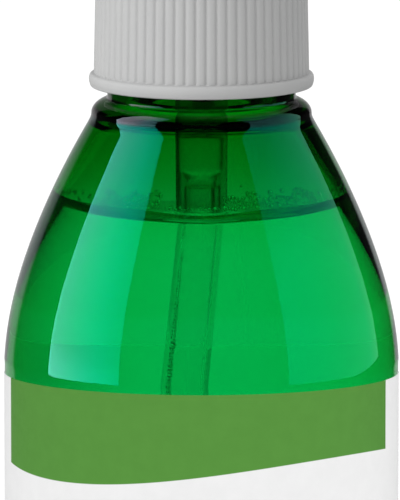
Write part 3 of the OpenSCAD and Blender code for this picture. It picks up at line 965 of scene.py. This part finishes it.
world = bpy.data.worlds.new("studio")
bpy.context.scene.world = world
world.use_nodes = True
wt = world.node_tree
wt.nodes.clear()
w_out = wt.nodes.new("ShaderNodeOutputWorld")
bg = wt.nodes.new("ShaderNodeBackground")
wt.links.new(bg.outputs[0], w_out.inputs["Surface"])
tc = wt.nodes.new("ShaderNodeTexCoord")
sep = wt.nodes.new("ShaderNodeSeparateXYZ")
wt.links.new(tc.outputs["Generated"], sep.inputs[0])
dx, dy, dz = sep.outputs
flat = math_node(wt, "SQRT", math_node(wt, "ADD", math_node(wt, "MULTIPLY", dx, dx),
                                       math_node(wt, "MULTIPLY", dy, dy)))
back = math_node(wt, "DIVIDE", dy, math_node(wt, "MAXIMUM", flat, 0.001))   # 1 straight behind
lp = wt.nodes.new("ShaderNodeLightPath")


def ramp(v, stops):
    r = wt.nodes.new("ShaderNodeValToRGB")
    m = wt.nodes.new("ShaderNodeMapRange")
    wt.links.new(v, m.inputs["Value"])
    m.inputs["From Min"].default_value = -1
    m.inputs["From Max"].default_value = 1
    wt.links.new(m.outputs["Result"], r.inputs["Fac"])
    e = r.color_ramp.elements
    while len(e) < len(stops):
        e.new(0.5)
    for i, (x, g) in enumerate(stops):
        e[i].position = (x + 1) / 2
        e[i].color = (g, g, g, 1)
    return r.outputs["Color"]


side_angle = math_node(wt, "DIVIDE", math_node(wt, "ARCTAN2", dx, dy), math.pi)   # + to the right
# a dark flag stands behind and to the right of the bottle
flag = math_node(
    wt, "MULTIPLY",
    ramp(side_angle, [(0.058, 0.0), (0.08, 0.985), (0.3, 0.985), (0.4, 0.0)]),
    ramp(dz, [(-0.16, 0.0), (-0.14, 1.0), (0.6, 1.0)]))
level_view = ramp(back, [(-1.0, 0.85), (-0.4, 0.7), (0.2, 0.45), (0.7, 0.58), (0.84, 0.68), (0.95, 0.98)])
down_view = ramp(side_angle, [(-1.0, 0.85), (-0.5, 0.6), (-0.34, 0.85), (-0.24, 1.0), (0.1, 0.98),
                              (0.17, 0.75), (0.27, 0.6), (0.5, 0.45)])
is_level = ramp(dz, [(-0.19, 0.0), (-0.13, 1.0)])
seen_through = math_node(wt, "ADD", math_node(wt, "MULTIPLY", level_view, is_level),
                         math_node(wt, "MULTIPLY", down_view, math_node(wt, "SUBTRACT", 1.0, is_level)))
seen_through = math_node(
    wt, "MULTIPLY", seen_through,
    ramp(dz, [(-0.9, 0.7), (-0.7, 1.06), (-0.19, 1.06), (-0.13, 0.68), (-0.08, 0.58),
              (0.05, 0.63), (0.3, 0.85)]))
seen_through = math_node(wt, "MULTIPLY", seen_through, math_node(wt, "SUBTRACT", 1.0, flag))
mirrored = math_node(
    wt, "MULTIPLY",
    ramp(side_angle, [(-0.215, 0.02), (-0.19, 0.45), (0.0, 0.5), (0.12, 0.45), (0.145, 0.02)]),
    ramp(dz, [(-0.5, 1.0), (0.0, 1.0), (0.2, 0.35), (0.7, 0.1)]))
soft = 0.91


def choose(flag, a, b):
    """a where the flag is 1, b where it is 0."""
    n = wt.nodes.new("ShaderNodeMix")
    n.data_type = "FLOAT"
    wt.links.new(flag, n.inputs[0])
    for i, v in ((2, b), (3, a)):
        if hasattr(v, "is_output"):
            wt.links.new(v, n.inputs[i])
        else:
            n.inputs[i].default_value = v
    return n.outputs[0]


level = choose(lp.outputs["Is Glossy Ray"], mirrored, soft)
level = choose(lp.outputs["Is Transmission Ray"], seen_through, level)
level = choose(lp.outputs["Is Camera Ray"], 1.06, level)
bg.inputs["Color"].default_value = (1, 1, 1, 1)
wt.links.new(level, bg.inputs["Strength"])


def softbox(name, azimuth, elevation, distance, aim, size, power, colour=(1, 1, 1)):
    """Area light at an azimuth from the front (+ to the right) and an elevation."""
    a, e = math.radians(azimuth), math.radians(elevation)
    d = Vector((math.sin(a) * math.cos(e), -math.cos(a) * math.cos(e), math.sin(e)))
    data = bpy.data.lights.new(name, "AREA")
    data.shape = "RECTANGLE"
    data.size, data.size_y = size
    data.energy = power
    data.color = colour
    ob = bpy.data.objects.new(name, data)
    bpy.context.scene.collection.objects.link(ob)
    ob.location = Vector(aim) + d * distance
    ob.rotation_mode = "QUATERNION"
    ob.rotation_quaternion = (-d).to_track_quat("-Z", "Y")
    ob.visible_camera = False
    return ob


def graded(ob, across, up=None):
    """Colour of an area light from one side to the other, dimmed from foot to top."""
    ob.data.use_nodes = True
    nt = ob.data.node_tree
    em = [n for n in nt.nodes if n.type == "EMISSION"][0]
    geo = nt.nodes.new("ShaderNodeNewGeometry")
    uv = nt.nodes.new("ShaderNodeSeparateXYZ")
    nt.links.new(geo.outputs["Parametric"], uv.inputs[0])

    def grade(v, stops):
        r = nt.nodes.new("ShaderNodeValToRGB")
        nt.links.new(v, r.inputs["Fac"])
        e = r.color_ramp.elements
        while len(e) < len(stops):
            e.new(0.5)
        for i, (x, c) in enumerate(stops):
            e[i].position = x
            e[i].color = (*c, 1)
        return r.outputs["Color"]

    nt.links.new(grade(uv.outputs[0], across), em.inputs["Color"])
    if up:
        nt.links.new(grade(uv.outputs[1], [(x, (g, g, g)) for x, g in up]), em.inputs["Strength"])


# mirrored only: the two tall soft boxes that show in the bottle
def mirror_box(name, az, half, top, colour, level, things, across=None, up=None):
    low, far = -0.056, 1.5
    high = 0.1 + far * math.tan(math.radians(top))
    size = (2 * far * math.tan(math.radians(half)), high - low)
    s = softbox(name, az, 0, far, (0, 0, (low + high) / 2), size, level * math.pi * size[0] * size[1], colour)
    s.visible_diffuse = False
    s.visible_transmission = False
    s.visible_volume_scatter = False
    s.light_linking.receiver_collection = things
    if across:
        graded(s, across, up)
    return s


shiny = bpy.data.collections.new("green_pieces")
for o in (bottle, liquid, droplets, housing, tube, bubbles):
    shiny.objects.link(o)
mirror_box("softbox_left", -74.0, 25.5, 62, (1, 1, 1), 4.1, shiny,
           across=[(0.0, (1.0, 1.5, 1.5)), (0.025, (0.95, 1.4, 1.4)), (0.045, (0.85, 1.05, 1.1)),
                   (0.3, (0.85, 1.05, 1.03)), (0.5, (0.66, 1.0, 0.95)), (0.72, (0.3, 0.9, 0.8)),
                   (1.0, (0.15, 0.62, 0.5))],
           up=[(0.0, 1.4), (0.03, 1.35), (0.08, 1.0), (1.0, 1.0)])
mirror_box("softbox_right", 88.5, 37.0, 62, (1, 1, 1), 1.45, shiny,
           across=[(0.0, (0.2, 0.95, 0.75)), (0.4, (0.2, 1.0, 0.75)), (0.85, (0.2, 1.1, 0.72)),
                   (1.0, (0.4, 1.1, 0.72))],
           up=[(0.0, 1.0), (0.15, 1.0), (0.3, 1.0), (0.5, 0.5)])
bright = bpy.data.collections.new("clear_pieces")
bright.objects.link(overcap)
mirror_box("window_left", -70, 22, 55, (1, 1, 1), 2.2, bright)
mirror_box("window_right", 84, 24, 55, (1, 1, 1), 1.1, bright)

# light on the collar and the pump head only
lit = bpy.data.collections.new("lit_by_key")
for o in (collar, nodes["finger_button"], nodes["nozzle_insert"]):
    lit.objects.link(o)
for name, az, width, power in (("key_left", -60, 0.6, 3.6), ("key_back", 150, 0.6, 2.3)):
    s = softbox(name, az, 30, 0.6, (0, 0, 0.13), (width, 0.5), power)
    s.visible_glossy = False
    s.visible_transmission = False
    s.light_linking.receiver_collection = lit

# ------------------------------------------------------------------ camera
ELEV, DIST, FRAME_H = math.radians(8.8), 1.2, 0.0745
cam_data = bpy.data.cameras.new("camera")
cam_data.sensor_fit = "VERTICAL"
cam_data.sensor_height = 36.0
cam_data.sensor_width = 36.0
cam_data.lens = 36.0 * DIST / FRAME_H
cam_data.clip_start, cam_data.clip_end = 0.05, 10.0
camera = bpy.data.objects.new("camera", cam_data)
bpy.context.scene.collection.objects.link(camera)
aim = Vector((-0.00022, 0.0, 0.0955))
camera.location = aim + Vector((0, -math.cos(ELEV), math.sin(ELEV))) * DIST
camera.rotation_mode = "QUATERNION"
camera.rotation_quaternion = (aim - camera.location).to_track_quat("-Z", "Y")
bpy.context.scene.camera = camera

scene = bpy.context.scene
scene.view_settings.view_transform = "Standard"
scene.view_settings.look = "None"
scene.cycles.max_bounces = 28
scene.cycles.transmission_bounces = 24
scene.cycles.glossy_bounces = 8
